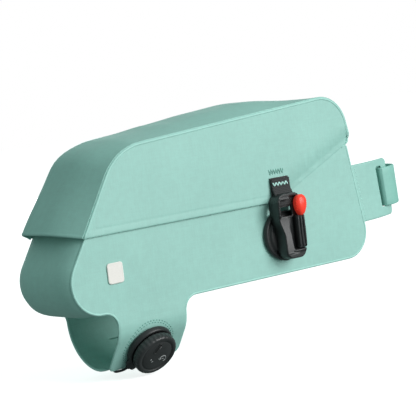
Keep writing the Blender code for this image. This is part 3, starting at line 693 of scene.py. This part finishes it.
seat = Vector((-0.0655, -0.0211688, -0.0259021))
tilt = radians(36)
forwards = Vector((1, 0, 0))
dial_out = Vector((0, -cos(tilt), -sin(tilt)))
dial_up = Vector((0, -sin(tilt), cos(tilt)))


def turned(name, profile, centre, out, paint, segments=96, ribs=0, depth=0.0):
    """A shape turned round the axis out of its centre, from rows of a radius, a height and the
    share of the ribs that are cut there, all but the share in millimetres."""
    up = out.cross(forwards)
    bm = bmesh.new()
    rings = []
    for radius, height, *ribbed in profile:
        ring = []
        for turn in (tau * step / segments for step in range(segments)):
            cut = depth * sum(ribbed) * (0.5 - 0.5 * cos(turn * ribs))
            way = forwards * cos(turn) + up * sin(turn)
            ring.append(bm.verts.new(centre + way * (radius * 0.001 - cut) + out * height * 0.001))
        rings.append(ring)
    skin(bm, rings)
    return piece(name, bm, paint, outwards=True)


def pebble(name, centre, ways, power, paint, steps=20):
    """A block with every edge rounded, from its centre and its half lengths as three vectors."""
    def bent(value):
        return copysign(abs(value) ** (2 / power), value)
    bm = bmesh.new()
    rings, count = [], 2 * steps
    for up in (pi * row / steps - pi / 2 for row in range(1, steps)):
        rings.append([bm.verts.new(centre + ways[0] * bent(cos(up)) * bent(cos(turn))
                                   + ways[1] * bent(cos(up)) * bent(sin(turn)) + ways[2] * bent(sin(up)))
                      for turn in (tau * step / count for step in range(count))])
    low_end, high_end = bm.verts.new(centre - ways[2]), bm.verts.new(centre + ways[2])
    skin(bm, rings, ends=False)
    for step in range(count):
        after = (step + 1) % count
        bm.faces.new((low_end, rings[0][after], rings[0][step]))
        bm.faces.new((high_end, rings[-1][step], rings[-1][after]))
    return piece(name, bm, paint, outwards=True)


def black_plastic(name, colour, roughness, grain):
    """Moulded plastic with a fine grain and faint handling marks."""
    made, shader, thread = finish(name, colour, roughness, Specular_IOR_Level=0.45)
    fine, broad = thread.spots(grain, 2.0), thread.spots(60.0)
    feed(shader, Base_Color=broad.between(0.3, 0.7).mix(shade(colour, 0.85), shade(colour, 1.25)),
         Roughness=fine * 0.14 + broad * 0.16 + (roughness - 0.15),
         Normal=thread.bump(fine * 0.00005, 0.5))
    return made


plastic = black_plastic("black_moulded_plastic", (0.024, 0.025, 0.026), 0.38, 2600.0)
knob_plastic = black_plastic("black_knob_plastic", (0.033, 0.034, 0.035), 0.36, 2200.0)
base_profile = [(0.1, 0.3), (15.2, 0.3), (15.7, 0.5), (15.9, 1.0), (15.8, 1.9), (15.4, 3.1), (15.1, 3.6),
                (14.5, 3.8), (13.9, 3.7), (13.6, 3.3), (13.5, 2.6), (0.1, 2.6)]
sewn_on(turned("dial_ring", base_profile, seat, dial_out, plastic), "bag", "black_plastic", "dial_base")
exit_angle = radians(42)
for side, name in ((-1, "rear"), (1, "front")):
    way = forwards * side * cos(exit_angle) - dial_up * sin(exit_angle)
    guide = pebble("lace_guide_" + name, seat + dial_out * 0.0020 + way * 0.0146,
                   (way * 0.0034, way.cross(dial_out) * 0.0050, dial_out * 0.0017), 3.2, plastic)
    mouth = tube("lace_mouth_" + name, [seat + dial_out * 0.0019 + way * reach
                                        for reach in (0.0165, 0.0178, 0.0186, 0.0189)],
                 [0.0016, 0.0015, 0.0013, 0.0010], plastic, 16)
    sewn_on(guide, "bag", "black_plastic")
    sewn_on(mouth, "bag", "black_plastic")

knob_centre = seat + dial_out * 0.0040
knob_profile = [(0.1, 0.0), (13.2, 0.0), (13.8, 0.3), (14.4, 0.9, 1), (14.6, 1.6, 1), (14.5, 4.6, 1),
                (14.2, 5.3, 0.6), (13.6, 6.0), (13.1, 6.2), (11.8, 6.2), (11.5, 6.0), (11.2, 5.5),
                (10.6, 5.5), (10.3, 5.8), (9.8, 6.0), (6.0, 6.2), (0.1, 6.2)]
knob = turned("dial_cap", knob_profile, knob_centre, dial_out, knob_plastic, 240, 30, 0.00034)
sewn_on(knob, "dial", "black_nylon", "dial_knob")
knob_face = 0.0062


def on_knob(across, up, out=knob_face):
    """A place on the knob's front, from millimetres across and up from its axis."""
    return knob_centre + (forwards * across + dial_up * up) * 0.001 + dial_out * out


slot_middle, slot_half, slot_wide = Vector((-1.45, 6.2)), Vector((1.30, 2.20)), 1.15
slot_way = slot_half.normalized()
slot_side = Vector((-slot_way.y, slot_way.x))
loop_points = []
for end, first_turn in ((1, -90), (-1, 90)):
    for step in range(9):
        turn = radians(first_turn + 180 * step / 8)
        loop_points.append(slot_middle + slot_half * end
                           + (slot_way * cos(turn) + slot_side * sin(turn)) * slot_wide)
loop_points.append(loop_points[0])
mark_line = 0.00030
slot_rim = tube("dial_slot_rim", [on_knob(*point) for point in loop_points], mark_line, knob_plastic, 8)
sewn_on(slot_rim, "dial", "black_nylon")
# The slot's floor is a near-black patch on the knob's face, darker than the knob's plastic: painted shade
# for the inside of the slot.
slot_shade_paint, shader, thread = finish("dial_slot_painted_shade", (0.004, 0.004, 0.0045), 0.7)
grain = thread.spots(2500.0, 2.0)
feed(shader, Base_Color=grain.between(0.3, 0.7).mix((0.003, 0.003, 0.003, 1), (0.007, 0.007, 0.007, 1)),
     Normal=thread.bump(grain * 0.00004, 0.5))
slot_floor = pebble("dial_slot_floor", on_knob(*slot_middle, knob_face - 0.0001),
                    ((on_knob(*(slot_middle + slot_way)) - on_knob(*slot_middle)) * (slot_half.length + 1.1),
                     (on_knob(*(slot_middle + slot_side)) - on_knob(*slot_middle)) * 1.1,
                     dial_out * 0.00022), 3.0, slot_shade_paint, 12)
sewn_on(slot_floor, "dial", "black_nylon")
mark_grey, shader, thread = finish("dial_mark_grey", (0.30, 0.31, 0.31), 0.5)
grain = thread.spots(1800.0, 2.0)
feed(shader, Base_Color=grain.between(0.35, 0.65).mix((0.26, 0.265, 0.27, 1), (0.50, 0.51, 0.51, 1)),
     Normal=thread.bump(grain * 0.00003, 0.5))
mark_centre, mark_radius = Vector((4.8, -3.2)), 2.3


def on_mark(angle, radius=mark_radius):
    """A place on the turn arrow's circle, from an angle in degrees."""
    turn = radians(angle)
    return on_knob(*(mark_centre + Vector((cos(turn), sin(turn))) * radius))


marks = {"arc": [on_mark(-70 + 20 * step) for step in range(14)],
         "barb_in": [on_mark(190), on_mark(158, 1.3)], "barb_out": [on_mark(190), on_mark(168, 3.3)],
         "dot": [on_knob(*(mark_centre + Vector((step, 0)))) for step in (-0.5, 0.5)],
         "tick_left": [on_knob(-3.7, -4.2), on_knob(-2.6, -3.4)],
         "tick_up": [on_knob(-4.9, -2.2), on_knob(-4.0, -1.8)]}
for name, line in marks.items():
    sewn_on(tube("dial_mark_" + name, line, mark_line, mark_grey, 8), "dial", "black_nylon")


# Lace tunnel. The far flap's lower edge is turned over into a narrow tube, open at both ends.

def pipe(name, start, way, length, outer, inner, paint, sides=28):
    """A straight open tube with rounded ends."""
    profile = [(inner, 0.0002), (inner + 0.0002, 0), (outer - 0.0002, 0), (outer, 0.0003),
               (outer, length - 0.0003), (outer - 0.0002, length), (inner + 0.0002, length),
               (inner, length - 0.0002)]
    side = way.orthogonal().normalized()
    other = way.cross(side)
    turns = [tau * step / sides for step in range(sides)]
    bm = bmesh.new()
    rings = [[bm.verts.new(start + way * height + (side * cos(turn) + other * sin(turn)) * radius)
              for turn in turns] for radius, height in profile]

    def cloth(step, row):
        radius, height = profile[row % len(profile)]
        return radius * cos(turns[step % sides]), height
    skin(bm, rings + rings[:1], cloth, ends=False)
    return piece(name, bm, paint, outwards=True)


tunnel_tube = pipe("tunnel_cloth", tunnel - Vector((tunnel_length / 2, 0, 0)), Vector((1, 0, 0)),
                   tunnel_length, 0.0021, 0.0012, mint)
sewn_on(tunnel_tube, "bag", "mint_fabric", "lace_tunnel")


# Strap round the steerer. A short flap on the near side has an upright slot. The far strap goes
# round the front, in through the slot, and back behind the flap's end.

stem_low, stem_high = 0.022, 0.0615
strap_low, strap_high = 0.0287, 0.0554
stem_reach, stem_bulge = 0.0333, 0.0120
stem_rise = tan(radians(1.8))


def stem_point(forward, sideways, height):
    """A point of the flap or the strap: both lean less and rise more further forwards."""
    lean_back = front_lean * 0.7 * min(forward / stem_reach, 1)
    x = front_x(height) + gap + forward + (height - stem_low) * lean_back
    return Vector((x, sideways, height + forward * stem_rise))


plan_table = ((0.0, -0.94), (0.26, -0.937), (0.50, -0.91), (0.67, -0.87), (0.81, -0.82), (1.0, -0.74))
plan = [Vector((stem_reach * forward, half_width * sideways, 0)) for forward, sideways in plan_table]


def flap_place(x, z, rise):
    """The stem flap lies in the front wall's plane at its root and curves in towards its end."""
    sideways = half_width * read_table(plan_table, straight(x, 0, stem_reach), straight)
    return stem_point(x, sideways, z) + Vector((0.12 * rise, -rise, 0))


slot_left, slot_right = stem_reach * 0.63, stem_reach * 0.81
slot_low, slot_high = strap_low - 0.0001, strap_high + 0.0010
stem_outline = rounded_box(-0.0006, stem_reach, stem_low, stem_high, (0, 0.0035, 0.0035, 0), 0.0015)
slot_hole = rounded_box(slot_left, slot_right, slot_low, slot_high, [0.0019] * 4, 0.0015, hole=True)
stem_edge = [(0, -0.0007), (0.0002, -0.0002), (0.0006, 0.0), (0.0012, 0.0)]
stem_flap = cut_panel("stem_flap", stem_outline, lambda x, z, rise: flap_place(x, z, rise + 0.0010),
                      mint, stem_edge, holes=[slot_hole], cell=0.003)
sewn_on(walled(stem_flap, 0.0019), "bag", "mint_fabric", "stem_flap_near")

outer_strand = ((0.0, 0.0, 0.94), (0.35, 0.0, 0.92), (0.81, 0.0, 0.76), (1.0, 0.42, 0.41),
                (1.0, 0.81, 0.03), (1.0, 0.96, -0.21), (1.0, 0.985, -0.41), (1.0, 0.81, -0.64),
                (1.0, 0.42, -0.80), (0.98, 0.0, -0.895))
inner_strand = ((1.02, 0.0, -0.635), (1.0, 0.43, -0.48), (1.0, 0.67, -0.31), (1.0, 0.76, -0.14))


def strand(table):
    """Places seen from above, from shares of the flap's reach, of the bulge and of half the width."""
    return [Vector((stem_reach * reach + stem_bulge * bulge, half_width * sideways, 0))
            for reach, bulge, sideways in table]


along = (plan[5] - plan[4]).normalized()
outwards = Vector((along.y, -along.x, 0))
turn_round = [plan[4] + (outwards * cos(angle) - along * sin(angle)) * 0.0024
              for angle in (radians(25 + 32.5 * step) for step in range(5))]
strap_line = smooth_route(strand(outer_strand) + turn_round + strand(inner_strand), 5)
strap_middle = (strap_low + strap_high) / 2
route = [stem_point(place.x, place.y, strap_middle) for place in strap_line]
ways = [stem_point(place.x, place.y, strap_high) - stem_point(place.x, place.y, strap_low)
        for place in strap_line]
strap_cloth = mint_cloth("mint_strap_cloth", (0.270, 0.590, 0.510))
strap = ribbon("stem_strap", route, ways, strap_high - strap_low, 0.0016, strap_cloth)
sewn_on(strap, "bag", "mint_fabric", "stem_strap_far")


# Buckle. Black moulded plastic: a round base on the shell, and on it a frame with the webbing's
# bar in its head. The frame's front is hollowed out under the window, beside a channel for the
# ribbed lever, which ends in a red pad at the right edge.

buckle_x = 0.046
buckle_low, buckle_high, buckle_front = 0.010, 0.0524, 0.0120
window_low, window_high = 0.0375, 0.0486
channel_depth, hollow_depth, hood_depth, lip_height = 0.0034, 0.0034, 0.0008, 0.0006
lever_low, lever_high, lever_out = 0.0161, 0.0372, 0.0127
near_out = Vector((0, -1, 0))


def near(x, out, height):
    """A point at a distance out from the lower shell's near face."""
    return Vector((x, -half_width - out, height))


disc_profile = [(0.1, 0.4), (16.4, 0.4), (16.9, 0.7), (17.1, 1.3), (17.0, 2.4), (16.6, 3.1), (16.0, 3.5),
                (15.2, 3.6), (14.6, 3.3), (14.2, 2.6), (13.7, 2.5), (13.2, 3.0), (12.7, 3.7), (11.8, 3.9),
                (0.1, 3.9)]
disc = turned("buckle_disc", disc_profile, near(buckle_x, 0, 0.0255), near_out, plastic)
for vert in disc.data.vertices:
    vert.co.z = min(vert.co.z, 0.0405)
sewn_on(disc, "bag", "black_plastic", "buckle_base")

frame_left, frame_right, frame_back = 0.0350, 0.0553, 0.0024
frame_depth = buckle_front - frame_back


def frame_place(x, z, rise):
    """The frame's moulding. It is wider at the head, and its left wall leans in lower down."""
    front = straight(rise, -frame_depth, 0)
    head = smooth_step(z, 0.024, 0.036)
    left = 0.0367 + 0.0014 * front + (-0.0017 - 0.0018 * front) * head
    right = 0.0547 + 0.0006 * head
    x = left + (x - frame_left) / (frame_right - frame_left) * (right - left)
    channel = smooth_step(x, 0.0453, 0.0459) * smooth_step(z, 0.0156, 0.0162)
    channel *= 1 - smooth_step(z, 0.0497, 0.0503)
    rest = smooth_step(x, left + 0.0008, left + 0.0014) * (1 - channel)
    rest *= smooth_step(z, 0.0128, 0.0138) * (1 - smooth_step(z, 0.0375, 0.0385))
    hollow = 0.0004 + hollow_depth * smooth_step(z, 0.0110, 0.0390) + 0.0010 * (0.0455 - x) / 0.0085
    lip = exp(-((z - 0.0148) / 0.0007) ** 2) * smooth_step(x, 0.0440, 0.0450)
    hood = hood_depth * smooth_step(z, window_high - 0.0005, window_high + 0.0010)
    relief = lip_height * lip - channel_depth * channel - max(hollow, 0) * rest - hood
    return near(x, frame_back + frame_depth * front + relief * front + max(rise, 0), z)


window_hole = rounded_box(0.0362, 0.0490, window_low, window_high, (0.0012, 0.0010, 0.0010, 0.0016),
                          hole=True)
frame_outline = rounded_box(frame_left, frame_right, buckle_low, buckle_high,
                            (0.0066, 0.0062, 0.0062, 0.0070))
frame_edge = [(0, -frame_depth), (0, -frame_depth * 0.6), (0, -0.0018), (0, -0.0007),
              (0.00015, -0.00028), (0.0004, -0.00005), (0.0007, 0)]
window_edge = [(0, -0.0030)] + frame_edge[2:]
moulding = cut_panel("buckle_frame", frame_outline, frame_place, plastic, frame_edge, holes=[window_hole],
                     hole_edge=window_edge, cell=0.0006)
sewn_on(walled(moulding, 0.0010), "bag", "black_plastic", "buckle_body")
bar_out, bar_height = 0.0059, 0.0461
bar_line = [near(x, bar_out, bar_height) for x in (0.0356, 0.0400, 0.0460, 0.0510, 0.0545)]
sewn_on(tube("buckle_bar", bar_line, 0.0014, plastic, 16), "bag", "black_plastic")


def lever_place(x, z, rise):
    """The lever's plate, slightly hollow between its edges."""
    return near(x, lever_out + rise - 0.0003 * smooth_step(z, lever_low, lever_high), z)


lever_corners = [(0.0482, lever_low, 0.0008), (0.0549, lever_low, 0.0012), (0.0551, lever_high, 0.0006),
                 (0.0486, lever_high, 0.0006)]
lever_edge = [(0, -0.0032), (0, -0.0006), (0.00012, -0.0002), (0.0004, 0)]
lever = cut_panel("lever_plate", rounded(lever_corners, closed=True, step=0.001), lever_place, plastic,
                  lever_edge, cell=0.0015)
sewn_on(walled(lever, 0.0012), "lever", "black_plastic", "buckle_lever")
for place, (low_x, high_x) in enumerate(((0.0489, 0.0496), (0.0514, 0.0519), (0.0540, 0.0543))):
    steps = [step / 8 for step in range(9)]
    spine = [near(low_x + (high_x - low_x) * t, lever_out, lever_low + 0.0010 + 0.0200 * t) for t in steps]
    rib = tube("lever_rib_%d" % place, spine, [0.0008 * sin(pi * (0.12 + 0.76 * t)) ** 0.35
                                               for t in steps], plastic, 12)
    sewn_on(rib, "lever", "black_plastic")

# The pad's red plastic also glows faintly through its emission: a painted glow that keeps its shaded side
# bright.
red, shader, thread = finish("red_release_plastic_painted_glow", (1.0, 0.050, 0.030), 0.26, IOR=1.42,
                             Emission_Color=(1.0, 0.06, 0.03, 1.0), Emission_Strength=0.16)
fine, broad = thread.spots(2400.0, 2.0), thread.spots(90.0)
feed(shader, Base_Color=broad.between(0.3, 0.7).mix((0.980, 0.052, 0.030, 1), (1.0, 0.072, 0.044, 1)),
     Roughness=fine * 0.12 + 0.20, Normal=thread.bump(fine * 0.00003, 0.4))
pad_x, pad_height, pad_half = 0.0532, 0.0436, 0.0068
tip = pebble("release_pad", near(pad_x, 0.0120, pad_height),
             (Vector((0.0047, 0, 0)), Vector((0, 0.0034, 0)), Vector((0.0003, 0, pad_half))), 2.5, red, 28)
for vert in tip.data.vertices:
    low_share = straight(pad_height + 0.002 - vert.co.z, 0, pad_half)
    vert.co.x = pad_x + (vert.co.x - pad_x) * (1 - 0.30 * low_share ** 1.3)
sewn_on(tip, "lever", "red_plastic", "release_tip")
for row in range(4):
    grip_height = pad_height + 0.0022 - 0.0016 * row
    grip = tube("pad_grip_%d" % row, [near(pad_x - 0.0044, 0.0132 + 0.0009 * step, grip_height)
                                      for step in (-1, 0, 1)], [0.00020, 0.00042, 0.00020], red, 8)
    sewn_on(grip, "lever", "red_plastic")


# Webbing. A black woven strap sewn to the lid's near side. It goes down round the bar in the
# buckle's head and back up over itself.

webbing_black, shader, thread = finish("black_woven_webbing", (0.018, 0.019, 0.020), 0.80,
                                       Sheen_Weight=0.3, Sheen_Roughness=0.4)
ribs = thread.cloth(1).wave(0.0011)
yarn = (thread.cloth(0) + thread.cloth(1) * 0.5).wave(0.0013)
weave = ribs * 0.6 + yarn * 0.4
feed(shader, Base_Color=weave.between(-0.8, 0.9).mix((0.013, 0.013, 0.014, 1), (0.052, 0.053, 0.055, 1)),
     Roughness=thread.spots(1200.0, 2.0) * 0.2 + 0.68, Normal=thread.bump(weave * 0.00009, 0.9))
first, second, loop = 0.0025, 0.0037, 0.0022
webbing_width, webbing_wall = 0.0154, 0.0011
webbing_path = [(first, 0.0629), (first, 0.0590), (first, 0.0540), (first + 0.0003, 0.0500),
                (bar_out - loop, bar_height + 0.0015)]
webbing_path += [(bar_out - loop * cos(pi * step / 8), bar_height - loop * sin(pi * step / 8))
                 for step in range(9)]
webbing_path += [(0.0072, 0.0488), (0.0055, 0.0520), (second + 0.0002, 0.0555), (second, 0.0590),
                 (second, 0.0620)]
route = [near(buckle_x, *place) for place in smooth_route([Vector(spot) for spot in webbing_path], 3)]
webbing = ribbon("webbing_loop", route, [forwards] * len(route), webbing_width, webbing_wall, webbing_black)
sewn_on(webbing, "bag", "black_webbing", "lid_webbing")


# Stitches. Mint thread: a zigzag across the webbing's end, the ghost of the same seam pressed
# through the lid above it, two rows round the dial's base, and a row along the stem flap's root.

def stitch_tree():
    """Nodes that lay a short rounded thread at each point of a mesh, along its own direction."""
    tree = bpy.data.node_groups.new("laid_stitches", "GeometryNodeTree")
    for title, kind in (("Points", "Geometry"), ("Length", "Float"), ("Width", "Float"),
                        ("Seed", "Int"), ("Thread", "Material")):
        tree.interface.new_socket(title, in_out="INPUT", socket_type="NodeSocket" + kind)
    tree.interface.new_socket("Stitches", in_out="OUTPUT", socket_type="NodeSocketGeometry")

    nodes = Thread(tree)
    points, length, width, seed, paint = (nodes.node("NodeGroupInput", output=spot) for spot in range(5))
    out, along = (nodes.node("GeometryNodeInputNamedAttribute", {"Name": title}, data_type="FLOAT_VECTOR")
                  for title in ("out", "along"))
    upright = nodes.node("FunctionNodeAlignRotationToVector", {"Vector": out}, axis="Z")
    laid_way = nodes.node("FunctionNodeAlignRotationToVector", {"Rotation": upright, "Vector": along},
                          axis="X", pivot_axis="Z")
    uneven = nodes.node("FunctionNodeRandomValue", {2: 0.88, 3: 1.1, "Seed": seed}, 1)
    size = nodes.node("ShaderNodeCombineXYZ", {0: length * uneven, 1: width, 2: width})
    bead = nodes.node("GeometryNodeMeshUVSphere", {"Segments": 10, "Rings": 7, "Radius": 0.5})
    laid = nodes.node("GeometryNodeInstanceOnPoints", {"Points": points, "Instance": bead,
                                                       "Rotation": laid_way, "Scale": size})
    real = nodes.node("GeometryNodeRealizeInstances", {0: laid})
    soft = nodes.node("GeometryNodeSetShadeSmooth", {"Geometry": real})
    dyed = nodes.node("GeometryNodeSetMaterial", {"Geometry": soft, "Material": paint})
    nodes.node("NodeGroupOutput", {0: dyed})
    return tree


stitching = stitch_tree()


def sew(name, spots, length, width, seed, paint):
    """Lay a stitch at each spot, from (place, direction along it, direction out of the cloth)."""
    mesh = bpy.data.meshes.new(name)
    mesh.from_pydata([place for place, _, _ in spots], [], [])
    for title, column in (("along", 1), ("out", 2)):
        attribute = mesh.attributes.new(title, "FLOAT_VECTOR", "POINT")
        attribute.data.foreach_set("vector", [part for spot in spots for part in spot[column]])
    made = bpy.data.objects.new(name, mesh)
    scene.collection.objects.link(made)
    laying = made.modifiers.new("laying", "NODES")
    laying.node_group = stitching
    for item in stitching.interface.items_tree:
        value = {"Length": length, "Width": width, "Seed": seed, "Thread": paint}.get(item.name)
        if value is not None:
            laying[item.identifier] = value
    graph = bpy.context.evaluated_depsgraph_get()
    finished = bpy.data.meshes.new_from_object(made.evaluated_get(graph))
    made.modifiers.clear()
    made.data = finished
    return made


def sewing_thread(name, colour):
    """Spun thread with a little fuzz."""
    made, shader, thread = finish(name, colour, 0.5, Sheen_Weight=0.2)
    ply, fuzz = thread.spots(3500.0, 2.0), thread.spots(300.0)
    feed(shader, Base_Color=fuzz.between(0.3, 0.7).mix(shade(colour, 0.88), shade(colour, 1.12)),
         Roughness=ply * 0.2 + 0.42, Normal=thread.bump(ply * 0.00006, 0.6))
    return made


thread_mint = sewing_thread("mint_sewing_thread", (0.580, 0.900, 0.830))
thread_sunk = sewing_thread("sunk_sewing_thread", (0.280, 0.560, 0.490))
thread_teal = sewing_thread("teal_sewing_thread", (0.110, 0.330, 0.275))


def zigzag(left, right, low, high, count, place):
    """Spots of a zigzag row between two heights. Place puts (x, z) in space."""
    spots = []
    for step in range(count):
        ends = [(left + (right - left) * (step + part) / count, low if (step + part) % 2 else high)
                for part in (0, 1)]
        a, b = (place(*end) for end in ends)
        middle = place((ends[0][0] + ends[1][0]) / 2, (ends[0][1] + ends[1][1]) / 2)
        spots.append((middle, (b - a).normalized(), near_out))
    return spots


seam_left = 0.0388
tack = zigzag(seam_left, 0.0514, 0.0575, 0.0599, 9, lambda x, z: near(x, second + 0.00075, z))
sewn_on(sew("webbing_tack", tack, 0.0030, 0.00095, 3, thread_mint), "bag", "mint_fabric")
ghost = zigzag(seam_left, 0.0512, 0.0648, 0.0686, 12, lambda x, z: lid_place(-1)(x, z, 0.0002))
sewn_on(sew("lid_ghost_stitches", ghost, 0.0039, 0.00048, 5, thread_sunk), "bag", "mint_fabric")

seat_run = near_flap[0] + near_flap[1] * near_flap[2] + 0.0065
dots = []
for ring, (radius, count) in enumerate(((0.0168, 48), (0.0182, 52))):
    for step in range(count):
        turn = tau * (step + 0.5 * ring) / count
        spot = Vector((seat.x + radius * cos(turn), -seat_run + radius * sin(turn)))
        if -0.046 < spot.y and spot.y > -seat_run - 0.009:
            lay, ahead, up = (side_place(-1, near_flap)(*place, 0.0)
                              for place in (spot, spot + Vector((0.0005, 0)), spot + Vector((0, 0.0005))))
            across, rising = (ahead - lay).normalized(), (up - lay).normalized()
            along = across * -sin(turn) + rising * cos(turn)
            dots.append((lay, along, rising.cross(across) * -1))
sewn_on(sew("dial_ring_stitches", dots, 0.0012, 0.00060, 7, thread_teal), "bag", "mint_fabric")

root = [(flap_place(0.0022, stem_low + 0.0020 + 0.0023 * step, 0.0010), Vector((0, 0, 1)), near_out)
        for step in range(16)]
sewn_on(sew("stem_root_stitches", root, 0.0015, 0.00038, 9, thread_mint), "bag", "mint_fabric")
